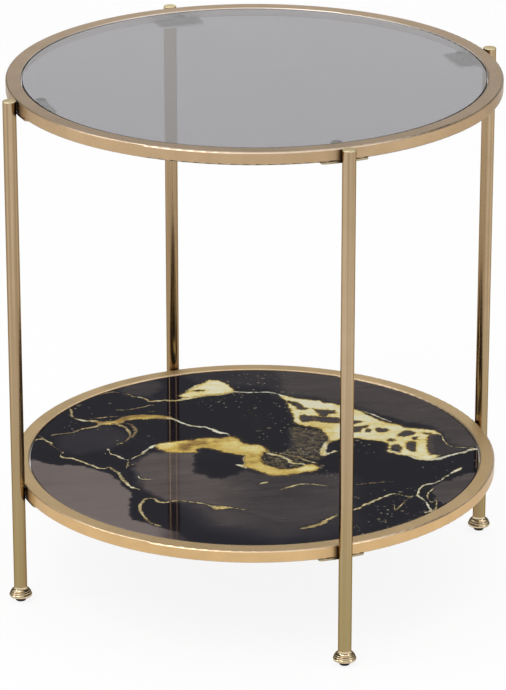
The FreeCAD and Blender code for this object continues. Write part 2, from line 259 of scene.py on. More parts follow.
# Gold fields of the print: tone and outline in pixels
gold_fields = {
    "right_field": (0.9, (
        (288, 388), (296, 389), (303, 391), (308, 391), (318, 393), (326, 393), (331, 396), (340, 397),
        (348, 399), (356, 401), (363, 403), (369, 405), (374, 409), (380, 411), (388, 415), (396, 418),
        (404, 419), (410, 421), (413, 423), (420, 423), (430, 424), (438, 425), (443, 426), (447, 429),
        (444, 429.5), (438, 430), (435, 434), (436, 440), (436, 446), (438, 452), (448, 453), (440, 457),
        (430, 457), (422, 454), (412, 453), (403, 451), (398, 450), (394, 448), (396, 444), (398, 441),
        (396, 439), (388, 437), (380, 436), (372, 435), (363, 433), (356, 433), (348, 434), (341, 436),
        (336, 438), (333, 432), (331, 428), (328, 425), (322, 422), (316, 421), (310, 420), (302, 418),
        (300, 415), (299, 410), (297, 404), (294, 397), (291, 392),
    )),
    "back_lens": (0.9, (
        (183, 387), (192, 383), (200, 379), (208, 374), (216, 371), (224, 371), (231, 374), (236, 378),
        (238, 383), (228, 385), (214, 386), (202, 388), (192, 389),
    )),
    "broad_field": (0.58, (
        (154, 441.5), (160, 439), (165, 438), (176, 436.8), (188, 435), (194, 433.8), (200, 432.8),
        (212, 432), (223, 433.2), (228, 432), (233, 431), (238, 431), (242, 432.5), (246, 435.5),
        (250, 439), (254, 440), (263, 440.3), (267, 442), (270, 445), (272, 448), (267, 448.5),
        (265.5, 455), (266, 459), (268, 461.5), (273, 463), (279, 465.5), (285, 467.5), (291, 467.8),
        (297, 467), (303, 466), (308, 464.5), (312, 463), (317, 462.3), (322, 463), (326, 465.5),
        (322, 469.5), (315, 470.5), (300, 472.5), (292, 473.5), (277, 474.5), (272, 474), (268, 471.5),
        (262, 469), (256, 467), (250, 465.5), (246, 464.5), (247.5, 461), (248, 452), (245, 452),
        (234, 449.5), (222, 446.5), (210, 443.5), (204, 443), (198, 445), (200, 448.5), (192, 448.5),
        (176, 448.5), (168, 448), (163, 446.5), (159, 445),
    )),
}

# Dark islands in the gold fields, as outlines in pixels
dark_islands = (
    ((196, 382), (204, 380.5), (213, 381.5), (204, 383)),
    (
        (293, 392.5), (299, 393.5), (306, 396), (309, 400), (315, 401), (309, 402.5), (303, 401.5),
        (300, 398.5), (294, 394.5),
    ),
    (
        (318, 401.5), (325, 402.5), (341, 404), (341, 407), (336, 407), (333, 409.5), (329, 410),
        (326, 409), (323, 405.5),
    ),
    (
        (306, 409), (309, 407.5), (313, 409), (320, 409.5), (321, 415), (316, 415.5), (310, 416),
        (307, 414),
    ),
    ((321, 409.5), (328, 410.5), (345, 411), (345, 417), (334, 417.5), (328, 416), (322, 415.5)),
    ((345, 414.5), (362, 414.5), (369, 416), (362, 418.5), (350, 418)),
    (
        (348, 424), (362, 421.5), (374, 420), (371, 422.5), (368, 424), (366, 426.5), (358, 427),
        (350, 427),
    ),
    ((374, 424), (378, 424.5), (377, 427.5), (373, 427.5)),
    ((380, 423.5), (385, 422.5), (389, 424), (393, 423), (397, 425.5), (392, 427.5), (384, 427.5)),
    (
        (405, 430), (409, 427.5), (414, 426), (419, 426.5), (422, 429), (417, 431.5), (412, 432.5),
        (407, 432),
    ),
    ((431, 428.3), (438, 428.3), (437, 430.3), (433, 430.3)),
    ((396, 436), (399, 434.5), (403, 436.5), (399, 438)),
    ((399, 442), (403, 440), (408, 441.5), (410, 446), (407, 449.5), (401, 449), (398, 447)),
    ((414, 440), (418, 437.5), (423, 438.5), (425, 443), (424, 448.5), (420, 449), (416, 445)),
    ((419, 433), (424, 432.5), (424, 435.5), (420, 436)),
)

# Zones that shift a field's tone: shift, softness in mm and outline in pixels
tone_zones = (
    (0.2, 8, ((154, 440), (172, 437), (178, 440), (176, 445), (160, 444))),
    (-0.4, 8, ((181, 439), (190, 438), (194, 442), (190, 446.5), (183, 446.5))),
    (-0.36, 8, ((190, 434), (200, 433), (210, 433), (208, 438), (200, 440.5), (191, 440))),
    (-0.18, 10, ((205, 438), (222, 436), (226, 442), (214, 445), (206, 442))),
    (0.16, 12, ((236, 433), (250, 440), (266, 441), (270, 446), (262, 449), (246, 446), (238, 440))),
    (-0.14, 10, ((250, 452), (262, 450), (264, 460), (252, 462))),
    (0.16, 8, ((302, 466), (324, 464), (320, 470), (302, 473))),
    (0.14, 10, ((292, 388), (341, 395), (341, 404), (318, 401), (300, 397))),
    (-0.2, 12, ((300, 417), (341, 418), (341, 434), (330, 428), (312, 422))),
)

# Smoky zones of the print: level, softness in mm, outline in pixels; one below zero darkens
smoke_zones = (
    (1.0, 4, (
        (16, 454), (45, 458), (68, 461), (88, 464), (100, 467), (112, 474), (122, 486), (131, 494),
        (127, 503), (126, 514), (131, 523), (142, 528), (158, 532), (176, 536), (186, 546), (150, 562),
        (60, 545), (16, 490),
    )),
    (-1.0, 45, ((166, 520), (240, 520), (240, 565), (172, 565))),
    (0.7, 12, (
        (132, 459), (150, 448), (196, 446), (262, 472), (350, 472), (350, 520), (322, 530), (290, 531),
        (250, 517), (205, 506), (160, 501), (140, 488),
    )),
    (0.55, 50, ((180, 500), (262, 480), (350, 480), (350, 530), (322, 540), (280, 545), (215, 530))),
    (-0.42, 70, ((225, 430), (360, 430), (360, 545), (290, 548), (240, 530))),
    (0.55, 26, (
        (278, 352), (360, 358), (430, 380), (480, 410), (500, 446), (470, 445), (455, 440), (446, 427),
        (430, 420), (410, 419), (385, 409), (365, 401), (340, 395), (320, 390), (288, 388),
    )),
    (0.16, 8, ((345, 372), (400, 386), (424, 400), (412, 412), (385, 406), (356, 396), (346, 388))),
    (-0.6, 4, (
        (368, 403), (392, 409), (412, 417), (440, 421), (450, 429), (440, 425), (412, 422), (390, 415),
        (370, 408),
    )),
    (0.5, 5, (
        (300, 394), (345, 401), (395, 418), (445, 428), (442, 452), (425, 450), (398, 446), (394, 438),
        (360, 430), (338, 434), (328, 424), (306, 416),
    )),
    (0.35, 4, ((430, 430), (446, 430), (455, 440), (482, 447), (458, 452), (444, 454), (436, 448))),
    (0.24, 14, ((180, 360), (250, 356), (304, 360), (304, 386), (280, 380), (240, 376), (200, 372))),
    (0.36, 10, ((118, 376), (155, 368), (170, 376), (155, 388), (132, 386))),
    (0.22, 12, ((58, 430), (110, 418), (129, 424), (126, 436), (105, 446), (72, 450), (56, 442))),
    (0.55, 3, (
        (440, 486), (452, 481), (492, 470), (492, 484), (474, 500), (455, 507), (447, 503), (441, 497),
    )),
    (0.3, 8, ((296, 424), (330, 428), (334, 440), (330, 452), (300, 452), (292, 440))),
    (-1.0, 5, (
        (195, 452), (205, 446), (225, 449), (243, 455), (249, 465), (240, 473), (222, 478), (208, 476),
        (196, 471),
    )),
    (-1.0, 6, (
        (138, 503), (146, 499), (158, 503), (178, 505), (172, 526), (160, 529), (148, 523), (140, 513),
    )),
    (-0.8, 4, ((125, 505), (138, 500), (136, 510), (140, 521), (131, 523), (126, 515))),
    (-0.9, 4, ((131, 489), (140, 492), (150, 495), (146, 500), (136, 500), (130, 497))),
)

# Speckled zones of the print: level, softness in mm and outline in pixels
speckle_zones = (
    (1.0, 8, ((292, 420), (332, 424), (336, 452), (322, 460), (262, 464), (280, 452), (298, 440))),
    (1.0, 4, ((266, 450), (290, 453), (312, 459), (322, 463), (300, 466), (280, 467), (268, 460))),
    (0.42, 14, ((244, 362), (300, 366), (300, 440), (262, 436), (240, 410), (196, 400), (200, 388))),
    (0.45, 12, ((356, 496), (428, 486), (434, 515), (400, 540), (356, 548))),
    (0.5, 8, ((356, 432), (396, 436), (396, 452), (370, 450), (356, 446))),
    (0.12, 12, ((420, 456), (486, 446), (490, 470), (440, 486), (420, 480))),
    (0.14, 12, ((70, 398), (180, 386), (180, 430), (120, 446), (60, 440))),
    (0.5, 8, ((318, 460), (342, 462), (342, 482), (322, 474))),
)


class Nodes:
    """A new material, with short calls that add nodes and link their sockets."""

    def __init__(self, name):
        self.material = bpy.data.materials.new(name)
        self.material.use_nodes = True
        self.tree = self.material.node_tree
        self.tree.nodes.clear()
        self.output = self.add("ShaderNodeOutputMaterial")

    def add(self, kind, inputs=None, **settings):
        node = self.tree.nodes.new(kind)
        for key, value in settings.items():
            setattr(node, key, value)
        for key, value in (inputs or {}).items():
            self.put(node.inputs[key], value)
        return node

    def put(self, socket, value):
        if isinstance(value, bpy.types.NodeSocket):
            self.tree.links.new(value, socket)
        else:
            socket.default_value = value

    def math(self, operation, first, second=0.0, third=0.0):
        node = self.add("ShaderNodeMath", operation=operation)
        for socket, value in zip(node.inputs, (first, second, third)):
            self.put(socket, value)
        return node.outputs[0]

    def times(self, first, second):
        return self.math("MULTIPLY", first, second)

    def rest(self, share):
        """What a share leaves of 1."""
        return self.math("SUBTRACT", 1.0, share)

    def sway(self, value, amount, base):
        """The base, shifted up and down by a noise around 0.5 times the amount."""
        return self.math("MULTIPLY_ADD", self.math("SUBTRACT", value, 0.5), amount, base)

    def spread(self, value, low, high, to_low=0.0, to_high=1.0, smooth=False):
        """A value between low and high, stretched to lie between two other levels."""
        kind = "SMOOTHSTEP" if smooth else "LINEAR"
        inputs = {"Value": value, "From Min": low, "From Max": high, "To Min": to_low, "To Max": to_high}
        return self.add("ShaderNodeMapRange", inputs, interpolation_type=kind).outputs[0]

    def mix(self, share, first, second, blend="MIX"):
        node = self.add("ShaderNodeMix", data_type="RGBA", blend_type=blend)
        for name, value in (("Factor_Float", share), ("A_Color", first), ("B_Color", second)):
            socket = next(s for s in node.inputs if s.identifier == name)
            self.put(socket, value)
        return next(s for s in node.outputs if s.identifier == "Result_Color")

    def ramp(self, share, stops):
        node = self.add("ShaderNodeValToRGB", {"Fac": share})
        set_ramp(node, stops)
        return node.outputs[0]

    def noise(self, vector, scale, detail=2.0, roughness=0.5, distortion=0.0):
        inputs = {"Vector": vector, "Scale": scale, "Detail": detail}
        inputs.update({"Roughness": roughness, "Distortion": distortion})
        return self.add("ShaderNodeTexNoise", inputs).outputs[0]

    def place(self):
        return self.add("ShaderNodeTexCoord").outputs["Object"]

    def mapped(self, vector, **settings):
        return self.add("ShaderNodeMapping", {"Vector": vector, **settings}).outputs[0]

    def vector(self, x, y, z):
        return self.add("ShaderNodeCombineXYZ", {"X": x, "Y": y, "Z": z}).outputs[0]

    def parts(self, vector):
        return self.add("ShaderNodeSeparateXYZ", {"Vector": vector}).outputs

    def bump(self, height, strength):
        inputs = {"Height": height, "Strength": strength, "Distance": 0.0001}
        return self.add("ShaderNodeBump", inputs).outputs[0]

    def finish(self, shader):
        self.tree.links.new(shader.outputs[0], self.output.inputs["Surface"])
        return self.material

    def principled(self, inputs):
        return self.finish(self.add("ShaderNodeBsdfPrincipled", inputs))


def colour(red, green, blue):
    return (red, green, blue, 1.0)


def scaled(base, red, green, blue):
    return colour(base[0] * red, base[1] * green, base[2] * blue)


def set_ramp(node, stops):
    """Gives a ramp its stops, each a position and a colour."""
    ramp = node.color_ramp
    while len(ramp.elements) > 1:
        ramp.elements.remove(ramp.elements[-1])
    for number, (position, shade) in enumerate(stops):
        stop = ramp.elements[0] if number == 0 else ramp.elements.new(position)
        stop.position = position
        stop.color = colour(*shade)


def set_camera():
    azimuth = math.radians(view_azimuth)
    across = Vector((math.cos(azimuth), math.sin(azimuth), 0))
    away = Vector((-math.sin(azimuth), math.cos(azimuth), 0))
    data = bpy.data.cameras.new("photo_camera")
    data.sensor_fit = "VERTICAL"
    data.sensor_height = sensor_height
    data.lens = focal_length_px / picture_height_px * sensor_height
    camera = bpy.data.objects.new("photo_camera", data)
    camera.location = -away * camera_distance - across * camera_aside + Vector((0, 0, camera_height))
    camera.rotation_euler = (math.radians(90 - view_pitch), 0, azimuth)
    bpy.context.scene.collection.objects.link(camera)
    bpy.context.scene.camera = camera


def add_object(name, mesh):
    piece = bpy.data.objects.new(name, mesh)
    bpy.context.scene.collection.objects.link(piece)
    return piece


def floor_material():
    """Pale matt floor that shows white to the camera, to metal and through glass, and keeps the shadow."""
    nodes = Nodes("studio_floor")
    grain = nodes.noise(nodes.place(), 3.0, 3.0)
    shade = nodes.mix(grain, *(colour(*shade) for shade in floor_shades))
    plain = nodes.add("ShaderNodeBsdfDiffuse", {"Color": shade})
    white = nodes.add("ShaderNodeEmission", {"Color": colour(1, 1, 1), "Strength": 1.0})
    path = nodes.add("ShaderNodeLightPath")
    seen = nodes.math("MAXIMUM", path.outputs["Is Camera Ray"], path.outputs["Is Glossy Ray"])
    seen = nodes.math("MAXIMUM", seen, path.outputs["Is Transmission Ray"])
    inputs = {0: nodes.times(seen, floor_white_share), 1: plain.outputs[0], 2: white.outputs[0]}
    return nodes.finish(nodes.add("ShaderNodeMixShader", inputs))


def add_floor():
    turns = np.linspace(0, 2 * math.pi, floor_sides, endpoint=False)
    corners = [(floor_radius * math.cos(t), floor_radius * math.sin(t), 0) for t in turns]
    mesh = bpy.data.meshes.new("studio_floor")
    mesh.from_pydata(corners, [], [list(range(floor_sides))])
    mesh.materials.append(floor_material())
    add_object("studio_floor", mesh)


def set_world():
    """A grey sky, bright overhead and at the horizon."""
    world = bpy.data.worlds.new("studio")
    world.use_nodes = True
    tree = world.node_tree
    tree.nodes.clear()
    place = tree.nodes.new("ShaderNodeTexCoord")
    split = tree.nodes.new("ShaderNodeSeparateXYZ")
    ramp = tree.nodes.new("ShaderNodeValToRGB")
    background = tree.nodes.new("ShaderNodeBackground")
    output = tree.nodes.new("ShaderNodeOutputWorld")
    tree.links.new(place.outputs["Generated"], split.inputs[0])
    tree.links.new(split.outputs["Z"], ramp.inputs[0])
    tree.links.new(ramp.outputs[0], background.inputs["Color"])
    tree.links.new(background.outputs[0], output.inputs["Surface"])
    set_ramp(ramp, [(height, (level, level, level)) for height, level in sky_levels])
    bpy.context.scene.world = world


def add_softbox(name, azimuth, distance, height, tilt, size, brightness):
    """A soft lamp at an azimuth round the table, tilted down by an angle; brightness 1 looks white."""
    data = bpy.data.lights.new(name, "AREA")
    data.shape = "RECTANGLE"
    data.size, data.size_y = size
    data.energy = brightness * math.pi * size[0] * size[1]
    lamp = bpy.data.objects.new(name, data)
    turn = math.radians(azimuth)
    lamp.location = (math.sin(turn) * distance, -math.cos(turn) * distance, height)
    lamp.rotation_euler = (math.radians(90 - tilt), 0, turn)
    bpy.context.scene.collection.objects.link(lamp)


def plan_radius(nodes):
    """Distance from the table's axis."""
    x, y = nodes.parts(nodes.place())[:2]
    return nodes.math("SQRT", nodes.math("ADD", nodes.times(x, x), nodes.times(y, y)))


def hoop_place(nodes, along, across):
    """Coordinates that run round the table's axis: stretched along the hoop, fine across it."""
    x, y, z = nodes.parts(nodes.place())
    turn = nodes.times(nodes.math("ARCTAN2", y, x), along * ring_radius)
    return nodes.vector(turn, nodes.times(plan_radius(nodes), across), nodes.times(z, across))


def upright_place(nodes, along, across):
    """Coordinates stretched along Z, fine in plan."""
    return nodes.mapped(nodes.place(), Scale=(across, across, along))


def turned_place(nodes, along, across):
    """Coordinates fine along Z, stretched in plan, as a lathe leaves its lines."""
    return nodes.mapped(nodes.place(), Scale=(along, along, across))


def crevice(nodes, reach):
    """1 in the open, falling to 0 where another surface stands close; the mask for painted shade in crevices.
    """
    openness = nodes.add("ShaderNodeAmbientOcclusion", {"Distance": reach}, samples=8).outputs["AO"]
    return nodes.spread(openness, 0.35, 0.9, smooth=True)


def gold(name, base, roughness, lines_place, coat=0.0, edge_tint=(0.25, 0.2, 0.15), wear_and_highlight_level=0.0,
         streak_level=0.0, foot_shade_level=0.0, inward_shade_level=0.0, painted_top_light=(1.0, 1.0, 1.0), inner_wall_light_level=0.0):
    """Champagne gold plate with polishing lines, soft blotches, smudged gloss and painted brown shade in
    crevices. The levels add worn corners with a painted highlight, streaks, painted shade on the foot
    end and on the side facing the table's axis, and painted light on the inner wall; the top tint
    paints light and shade on what faces up or down."""
    nodes = Nodes(name)
    place = nodes.place()
    height = nodes.parts(place)[2]
    radius = plan_radius(nodes)
    lines = nodes.noise(lines_place(nodes, 12.0, 2400.0), 1.0, 3.0, 0.6)
    streaks = nodes.noise(lines_place(nodes, 2.5, 330.0), 1.0, 1.0, 0.4)
    blotch = nodes.noise(place, 38.0, 4.0, 0.6)
    smudge = nodes.noise(place, 14.0, 3.0, 0.55, 0.6)

    tint = nodes.mix(
        nodes.spread(blotch, 0.3, 0.7), scaled(base, 0.93, 0.92, 0.9), scaled(base, 1.05, 1.05, 1.07)
    )
    tint = nodes.mix(nodes.spread(lines, 0.35, 0.8, 0.0, 0.2), tint, scaled(base, 0.8, 0.8, 0.8))
    streak = nodes.spread(streaks, 0.38, 0.62, 0.0, streak_level)
    tint = nodes.mix(streak, tint, scaled(base, 0.66, 0.6, 0.52))
    # Painted shade: darker towards a leg's foot end
    low = nodes.spread(height, *foot_shade_heights, foot_shade_level, 0.0)
    tint = nodes.mix(low, tint, scaled(base, 0.72, 0.74, 0.55))
    # Painted shade: darker on a leg's side facing the table's axis, fading out upwards
    inward = nodes.spread(radius, leg_place - 0.005, leg_place + 0.003, inward_shade_level, 0.0)
    inward = nodes.times(inward, nodes.spread(height, *inward_shade_heights, 1.0, 0.0))
    tint = nodes.mix(inward, tint, scaled(base, 0.58, 0.5, 0.4))
    # Painted light: pale gold on what lies within the inner wall's radius
    inside = nodes.spread(radius, inner_wall, inner_wall + 0.0005, inner_wall_light_level, 0.0)
    tint = nodes.mix(inside, tint, colour(*inner_wall_light_gold))

    # Painted light and shade: faces that point up or down take the top tint, paler on the lower ring and
    # darker on the upper
    rise = nodes.parts(nodes.add("ShaderNodeNewGeometry").outputs["Normal"])[2]
    tilt = nodes.times(rise, rise)
    tint = nodes.mix(nodes.spread(tilt, 0.5, 1.0), tint, colour(*painted_top_light), "MULTIPLY")
    # Rounded corners turn paler: partly worn plating, partly a painted highlight
    corner = nodes.times(nodes.times(tilt, 4.0), nodes.rest(tilt))
    corner = nodes.sway(blotch, 0.5, corner)
    wear_and_highlight = nodes.spread(corner, 0.35, 0.9, 0.0, wear_and_highlight_level, smooth=True)
    tint = nodes.mix(wear_and_highlight, tint, colour(*(c + 0.5 * (0.9 - c) for c in base)))
    # Painted shade: brown where another surface stands close
    reach = nodes.spread(radius, inner_wall, inner_wall + 0.003, 0.0025, 0.008)
    tint = nodes.mix(crevice(nodes, reach), colour(*crevice_shade_brown), tint)

    rough = nodes.spread(lines, 0.3, 0.7, roughness - 0.04, roughness + 0.05)
    rough = nodes.math("ADD", rough, nodes.spread(smudge, 0.35, 0.7, -0.03, 0.04))
    rough = nodes.times(rough, nodes.spread(wear_and_highlight, 0.0, 1.0, 1.0, 0.5))
    inputs = {"Base Color": tint, "Metallic": 1.0, "Roughness": rough, "Normal": nodes.bump(lines, 0.04)}
    inputs.update({"Specular Tint": colour(*edge_tint), "Coat Weight": coat, "Coat Roughness": 0.1})
    return nodes.principled(inputs)


def zinc(name, base):
    """Zinc plate with a faint crystal bloom and painted dark shade in the crevices."""
    nodes = Nodes(name)
    cells = nodes.add("ShaderNodeTexVoronoi", {"Vector": nodes.place(), "Scale": 420.0})
    bloom = nodes.spread(cells.outputs["Distance"], 0.0, 0.8)
    grain = nodes.noise(nodes.place(), 900.0, 3.0)
    tint = nodes.mix(bloom, scaled(base, 0.85, 0.85, 0.85), scaled(base, 1.1, 1.1, 1.1))
    # Painted shade: darker where another surface stands close
    tint = nodes.mix(crevice(nodes, 0.004), scaled(base, 0.12, 0.1, 0.08), tint)
    rough = nodes.spread(grain, 0.3, 0.7, 0.26, 0.38)
    return nodes.principled({"Base Color": tint, "Metallic": 1.0, "Roughness": rough})


def smoked_glass(name):
    """Grey tinted float glass, polished, with faint wiping marks in its gloss and a pale ground rim."""
    nodes = Nodes(name)
    wiped = nodes.noise(nodes.place(), 9.0, 3.0, 0.5, 1.5)
    tint = nodes.mix(nodes.spread(wiped, 0.3, 0.7), *(colour(*shade) for shade in smoke_shades))
    ground = nodes.spread(plan_radius(nodes), glass_rim, glass_rim + 0.0003)
    tint = nodes.mix(ground, tint, colour(*ground_rim_shade))
    rough = nodes.math("MULTIPLY_ADD", ground, 0.4, nodes.spread(wiped, 0.3, 0.7, 0.005, 0.03))
    inputs = {"Base Color": tint, "Roughness": rough, "Transmission Weight": 1.0, "IOR": 1.5}
    return nodes.principled(inputs)


def clear_rubber(name):
    """Clear soft polymer, slightly cloudy."""
    nodes = Nodes(name)
    cloud = nodes.noise(nodes.place(), 300.0, 3.0)
    tint = nodes.mix(cloud, *(colour(*shade) for shade in clear_shades))
    rough = nodes.spread(cloud, 0.3, 0.7, 0.16, 0.3)
    inputs = {"Base Color": tint, "Roughness": rough, "Transmission Weight": 0.75, "IOR": 1.46}
    return nodes.principled(inputs)


def black_rubber(name):
    """Dull black moulded rubber with a fine grain and floor dust in it."""
    nodes = Nodes(name)
    grain = nodes.noise(nodes.place(), 1400.0, 4.0)
    dust = nodes.noise(nodes.place(), 160.0, 4.0, 0.65)
    dusty = nodes.spread(dust, 0.52, 0.75, 0.0, 0.35)
    tint = nodes.mix(dusty, *(colour(*shade) for shade in black_shades))
    rough = nodes.spread(grain, 0.3, 0.7, 0.5, 0.7)
    return nodes.principled({"Base Color": tint, "Roughness": rough, "Normal": nodes.bump(grain, 0.25)})


def shelf_point(across_px, down_px):
    """Where a pixel of the photograph lies on the shelf, in plan and in metres."""
    depth = photo_focal_px * photo_shelf_drop / (down_px - photo_horizon_px)
    across = (across_px - photo_middle_px) * depth / photo_focal_px
    away = depth - photo_distance
    turn = math.radians(photo_azimuth)
    x = across * math.cos(turn) - away * math.sin(turn)
    y = across * math.sin(turn) + away * math.cos(turn)
    return np.array((x, y)) * ring_radius


def smooth_path(points, step):
    """Points a step apart on a smooth curve through the given rows; the first two columns are the plan."""
    rows = np.array(points, float)
    rows = np.vstack((2 * rows[0] - rows[1], rows, 2 * rows[-1] - rows[-2]))
    path = []
    for before, start, end, after in zip(rows, rows[1:], rows[2:], rows[3:]):
        count = max(2, int(np.linalg.norm((end - start)[:2]) / step))
        t = np.linspace(0, 1, count, endpoint=False)[:, None]
        bend = (2 * before - 5 * start + 4 * end - after) * t**2
        bend = bend + (3 * start - before - 3 * end + after) * t**3
        path.append(start + ((end - before) * t + bend) / 2)
    return np.vstack(path + [rows[-2:-1]])


def outline_depth(spots, outline):
    """How far each spot lies inside an outline, in metres, below zero outside it."""
    ends = np.array([shelf_point(*point) for point in outline])
    nearest = np.full(len(spots), np.inf)
    inside = np.zeros(len(spots), bool)
    for start, end in zip(ends, np.roll(ends, -1, axis=0)):
        run = end - start
        share = np.clip((spots - start) @ run / (run @ run), 0, 1)
        nearest = np.minimum(nearest, np.linalg.norm(spots - start - share[:, None] * run, axis=1))
        crosses = (start[1] > spots[:, 1]) != (end[1] > spots[:, 1])
        reach = start[0] + (spots[:, 1] - start[1]) * run[0] / (run[1] or 1e-12)
        inside ^= crosses & (spots[:, 0] < reach)
    return np.where(inside, nearest, -nearest)


def zone_rise(spots, softness, outline):
    """0 outside a zone, rising smoothly to 1 inside it; the softness is the width of its edge in mm."""
    rise = np.clip(outline_depth(spots, outline) / (softness * 0.001) + 0.5, 0, 1)
    return rise * rise * (3 - 2 * rise)


def zone_level(spots, zones):
    """The highest of the soft zones at each spot; one below zero takes its share from those before it."""
    total = np.zeros(len(spots))
    for level, softness, outline in zones:
        rise = level * zone_rise(spots, softness, outline)
        total = np.maximum(total, rise) if level > 0 else total * (1 + rise)
    return total


def vein_levels(spots):
    """The gold veins at each spot: vein is 1 on a vein's middle, 0 at its edge and below 0 outside; along is
    the distance from the vein's start, side the distance from its middle and girth its half width, in cm."""
    levels = {name: np.zeros(len(spots)) for name in ("vein", "tone", "along", "side", "girth")}
    levels["vein"] -= vein_reach
    for number, (vein_tone, points) in enumerate(gold_veins.values()):
        rows = [(*shelf_point(across, down), half * 0.001) for across, down, half in points]
        path = smooth_path(rows, vein_step)
        runs = np.gradient(path[:, :2], axis=0)
        lengths = np.linalg.norm(runs, axis=1)
        travel = np.cumsum(lengths)
        room = (vein_reach + 1) * path[:, 2].max()
        low = path[:, :2].min(axis=0) - room
        high = path[:, :2].max(axis=0) + room
        near = np.nonzero(((spots > low) & (spots < high)).all(axis=1))[0]
        for some in np.array_split(near, max(1, len(near) // spots_at_once)):
            gaps = np.linalg.norm(spots[some, None] - path[None, :, :2], axis=2)
            nearness = 1 - gaps / np.maximum(path[:, 2], vein_step / 2)
            best = nearness.argmax(axis=1)
            found = nearness[np.arange(len(some)), best]
            offset = spots[some] - path[best, :2]
            side = (runs[best, 0] * offset[:, 1] - runs[best, 1] * offset[:, 0]) / lengths[best]
            values = {
                "vein": found,
                "tone": vein_tone,
                "along": 100 * travel[best] + number,
                "side": 100 * side,
                "girth": 100 * path[best, 2],
            }
            better = found > levels["vein"][some]
            for name, value in values.items():
                levels[name][some[better]] = np.broadcast_to(value, len(some))[better]
    return levels


def field_levels(spots):
    """How deep each spot lies in a gold field, in cm, with the dark islands cut out, and the field's tone."""
    depth = np.full(len(spots), -1.0)
    tone = np.zeros(len(spots))
    for field_tone, outline in gold_fields.values():
        inside = 100 * outline_depth(spots, outline)
        tone = np.where(inside > depth, field_tone, tone)
        depth = np.maximum(depth, inside)
    for outline in dark_islands:
        depth = np.minimum(depth, -100 * outline_depth(spots, outline))
    for shift, softness, outline in tone_zones:
        tone += shift * zone_rise(spots, softness, outline)
    return {"field": np.clip(depth, -1, 1), "sheen": tone}


def warped(spots, waves):
    """The spots, shifted by smooth noise so that what is drawn on them wavers."""
    shifts = np.zeros(spots.shape)
    for rate, size in waves:
        shifts += [(noise.noise_vector(Vector((x, y, size)) * rate) * size)[:2] for x, y in spots]
    return spots + shifts


def panel_mesh():
    """The shelf panel: an even triangle mesh on top, a rounded rim and a flat underside."""
    flat_radius = panel_radius - panel_edge
    count = round(flat_radius / panel_spacing)
    circles = [(0.0, panel_top, 1)]
    circles += [(flat_radius * n / count, panel_top, 6 * n) for n in range(1, count + 1)]
    rim = 6 * count
    for middle, start in ((panel_top - panel_edge, 90), (panel_bottom + panel_edge, 0)):
        for n in range(panel_edge_steps + 1):
            turn = math.radians(start - 90 * n / panel_edge_steps)
            radius = flat_radius + panel_edge * math.cos(turn)
            circles.append((radius, middle + panel_edge * math.sin(turn), rim))
    corners = []
    faces = []
    last = None
    for radius, height, sides in circles:
        first = len(corners)
        turns = 2 * math.pi * np.arange(sides) / sides
        corners += [(radius * math.cos(t), radius * math.sin(t), height) for t in turns]
        if last is not None:
            faces += joined_circles(*last, first, sides)
        last = (first, sides)
    faces.append([last[0] + n for n in reversed(range(rim))])
    mesh = bpy.data.meshes.new("shelf_panel")
    mesh.from_pydata(corners, [], faces)
    mesh.polygons.foreach_set("use_smooth", [len(face) < 5 for face in faces])
    return mesh


def joined_circles(inner, inner_sides, outer, outer_sides):
    """Faces between two circles of vertices: a fan at the middle, quads between equals, triangles else."""
    if inner_sides == outer_sides:
        pairs = [(n, (n + 1) % outer_sides) for n in range(outer_sides)]
        return [[inner + a, outer + a, outer + b, inner + b] for a, b in pairs]
    if inner_sides == 1:
        return [[inner, outer + n, outer + (n + 1) % outer_sides] for n in range(outer_sides)]
    faces = []
    a = b = 0
    while a < inner_sides or b < outer_sides:
        corner_in = inner + a % inner_sides
        corner_out = outer + b % outer_sides
        if (b + 1) * inner_sides <= (a + 1) * outer_sides:
            faces.append([corner_in, corner_out, outer + (b + 1) % outer_sides])
            b += 1
        else:
            faces.append([corner_in, corner_out, inner + (a + 1) % inner_sides])
            a += 1
    return faces


def vein_noise(nodes, levels, along, across, *settings):
    """A noise that runs with the veins, at a rate along them and a rate across them."""
    place = nodes.vector(nodes.times(levels["along"], along), nodes.times(levels["side"], across), 0.0)
    return nodes.noise(place, 1.0, *settings)


def print_noises(nodes, levels):
    """The noises that the print's stone and gold share."""
    place = nodes.place()
    turned = nodes.mapped(place, Rotation=(0, 0, -math.radians(photo_azimuth + streak_turn)))
    return {
        "streaks": nodes.noise(nodes.mapped(turned, Scale=(14.0, 70.0, 1.0)), 1.0, 5.0, 0.6, 0.8),
        "fine_streaks": nodes.noise(nodes.mapped(turned, Scale=(60.0, 330.0, 1.0)), 1.0, 4.0, 0.6, 1.0),
        "clouds": nodes.noise(place, 16.0, 4.0, 0.55, 0.4),
        "lace": nodes.noise(place, 85.0, 4.0, 0.6, 1.2),
        "fray": nodes.noise(place, 330.0, 4.0, 0.65),
        "crumbs": nodes.noise(place, 170.0, 5.0, 0.7),
        "mottle": nodes.noise(place, 130.0, 5.0, 0.7, 0.6),
        "breaks": nodes.noise(place, 62.0, 3.0, 0.6),
        "flow": vein_noise(nodes, levels, 0.4, 1.3, 3.0, 0.5, 0.5),
        "comb": vein_noise(nodes, levels, 7.0, 0.8, 2.0, 0.5),
    }


